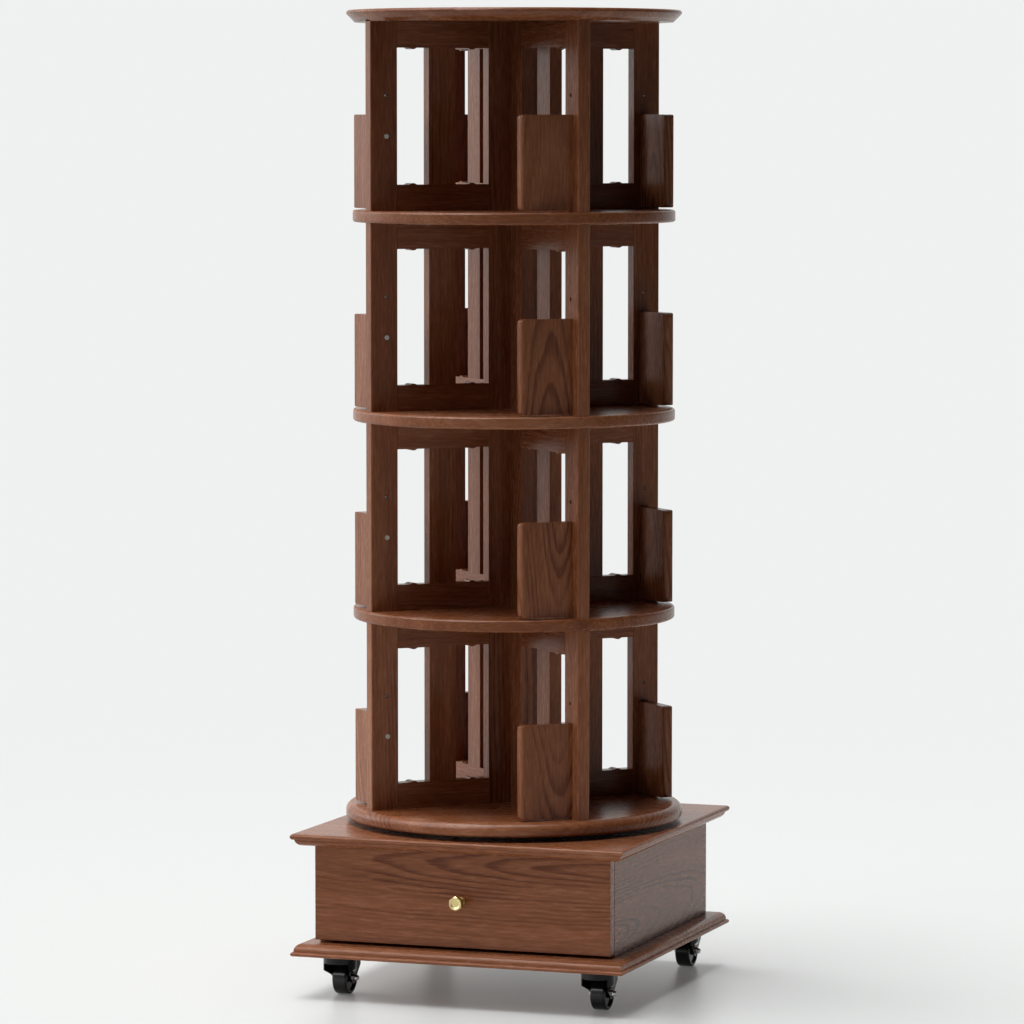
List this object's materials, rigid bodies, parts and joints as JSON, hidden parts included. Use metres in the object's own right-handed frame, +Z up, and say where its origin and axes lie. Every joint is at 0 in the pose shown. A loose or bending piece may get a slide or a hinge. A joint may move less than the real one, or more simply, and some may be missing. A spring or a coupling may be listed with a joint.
{
  "type": "revolving bookcase",
  "caption": "Tall round bookcase of slotted panels and shelves that turns on a ball ring above a square drawer base with swivel casters.",
  "frame": {"origin": "on the floor under the turntable's spin axis, at the middle of the square base", "axes": "+Z up along the spin axis, -Y out of the drawer front, +X to the right seen from the drawer"},
  "size_m": [0.525, 0.525, 1.479],
  "materials": {
    "walnut": "satin walnut stain",
    "walnut_stop": "satin walnut stain",
    "walnut_front": "satin walnut stain, cathedral grain",
    "drawer_wood": "plain satin",
    "dowel_wood": "raw beech",
    "zinc_steel": "zinc plated",
    "black_steel": "gloss black",
    "wheel_plastic": "black moulded tread",
    "chrome": "polished",
    "brass": "satin brass"
  },
  "bodies": {
    "base": {"plinth_board": "walnut", "case_side_left": "walnut", "case_side_right": "walnut", "case_back": "walnut", "top_board": "walnut", "case_screws": "zinc_steel", "base_short_screws": "zinc_steel", "turntable_lower_ring": "zinc_steel", "runner_case_parts": "zinc_steel", "caster_plates": "black_steel"},
    "tower": {"bottom_disc": "walnut", "shelf_lower": "walnut", "shelf_middle": "walnut", "shelf_upper": "walnut", "top_disc": "walnut", "through_frame_1": "walnut", "half_frame_front_1": "walnut", "half_frame_back_1": "walnut", "through_frame_2": "walnut", "half_frame_front_2": "walnut", "half_frame_back_2": "walnut", "through_frame_3": "walnut", "half_frame_front_3": "walnut", "half_frame_back_3": "walnut", "through_frame_4": "walnut", "half_frame_front_4": "walnut", "half_frame_back_4": "walnut", "book_stops_1": "walnut_stop", "book_stops_2": "walnut_stop", "book_stops_3": "walnut_stop", "book_stops_4": "walnut_stop", "stop_screws": "zinc_steel", "turntable_upper_ring": "zinc_steel", "turntable_upper_screws": "zinc_steel", "tier_dowels": "dowel_wood"},
    "ball_ring": {"turntable_balls": "zinc_steel"},
    "drawer": {"drawer_front": "walnut_front", "drawer_inner_front": "drawer_wood", "drawer_side_left": "drawer_wood", "drawer_side_right": "drawer_wood", "drawer_back": "drawer_wood", "drawer_bottom": "drawer_wood", "drawer_knob": "brass", "drawer_screws": "zinc_steel", "runner_drawer_parts": "zinc_steel"},
    "runner_middle": {"runner_middle_parts": "zinc_steel"},
    "runner_outer_strips": {"runner_outer_balls": "zinc_steel"},
    "runner_inner_strips": {"runner_inner_balls": "zinc_steel"},
    "fork_front_left": {"caster_fork_front_left": "black_steel", "caster_axle_front_left": "chrome"},
    "wheel_front_left": {"caster_wheel_front_left": "wheel_plastic"},
    "fork_front_right": {"caster_fork_front_right": "black_steel", "caster_axle_front_right": "chrome"},
    "wheel_front_right": {"caster_wheel_front_right": "wheel_plastic"},
    "fork_back_left": {"caster_fork_back_left": "black_steel", "caster_axle_back_left": "chrome"},
    "wheel_back_left": {"caster_wheel_back_left": "wheel_plastic"},
    "fork_back_right": {"caster_fork_back_right": "black_steel", "caster_axle_back_right": "chrome"},
    "wheel_back_right": {"caster_wheel_back_right": "wheel_plastic"}
  },
  "joints": [
    {"name": "tower_spin", "type": "hinge", "parent": "base", "child": "tower", "pos_m": [0, 0, 0.25], "axis": [0, 0, 1], "continuous": true},
    {"name": "ball_ring_spin", "type": "hinge", "parent": "base", "child": "ball_ring", "pos_m": [0, 0, 0.25], "axis": [0, 0, 1], "continuous": true},
    {"name": "drawer_slide", "type": "slide", "parent": "base", "child": "drawer", "axis": [0, -1, 0], "range_m": [0, 0.3]},
    {"name": "runner_middle_slide", "type": "slide", "parent": "base", "child": "runner_middle", "axis": [0, -1, 0], "range_m": [0, 0.15]},
    {"name": "runner_outer_slide", "type": "slide", "parent": "base", "child": "runner_outer_strips", "axis": [0, -1, 0], "range_m": [0, 0.075]},
    {"name": "runner_inner_slide", "type": "slide", "parent": "base", "child": "runner_inner_strips", "axis": [0, -1, 0], "range_m": [0, 0.225]},
    {"name": "caster_swivel_front_left", "type": "hinge", "parent": "base", "child": "fork_front_left", "pos_m": [-0.205, -0.205, 0.06], "axis": [0, 0, 1], "continuous": true},
    {"name": "caster_swivel_front_right", "type": "hinge", "parent": "base", "child": "fork_front_right", "pos_m": [0.205, -0.205, 0.06], "axis": [0, 0, 1], "continuous": true},
    {"name": "caster_swivel_back_left", "type": "hinge", "parent": "base", "child": "fork_back_left", "pos_m": [-0.205, 0.205, 0.06], "axis": [0, 0, 1], "continuous": true},
    {"name": "caster_swivel_back_right", "type": "hinge", "parent": "base", "child": "fork_back_right", "pos_m": [0.205, 0.205, 0.06], "axis": [0, 0, 1], "continuous": true},
    {"name": "wheel_spin_front_left", "type": "hinge", "parent": "fork_front_left", "child": "wheel_front_left", "pos_m": [-0.205, -0.185, 0.025], "axis": [1, 0, 0], "continuous": true},
    {"name": "wheel_spin_front_right", "type": "hinge", "parent": "fork_front_right", "child": "wheel_front_right", "pos_m": [0.205, -0.185, 0.025], "axis": [1, 0, 0], "continuous": true},
    {"name": "wheel_spin_back_left", "type": "hinge", "parent": "fork_back_left", "child": "wheel_back_left", "pos_m": [-0.205, 0.225, 0.025], "axis": [1, 0, 0], "continuous": true},
    {"name": "wheel_spin_back_right", "type": "hinge", "parent": "fork_back_right", "child": "wheel_back_right", "pos_m": [0.205, 0.225, 0.025], "axis": [1, 0, 0], "continuous": true}
  ],
  "couplings": [
    {"joint": "ball_ring_spin", "follows": "tower_spin", "ratio": 0.5},
    {"joint": "runner_middle_slide", "follows": "drawer_slide", "ratio": 0.5},
    {"joint": "runner_outer_slide", "follows": "drawer_slide", "ratio": 0.25},
    {"joint": "runner_inner_slide", "follows": "drawer_slide", "ratio": 0.75}
  ]
}
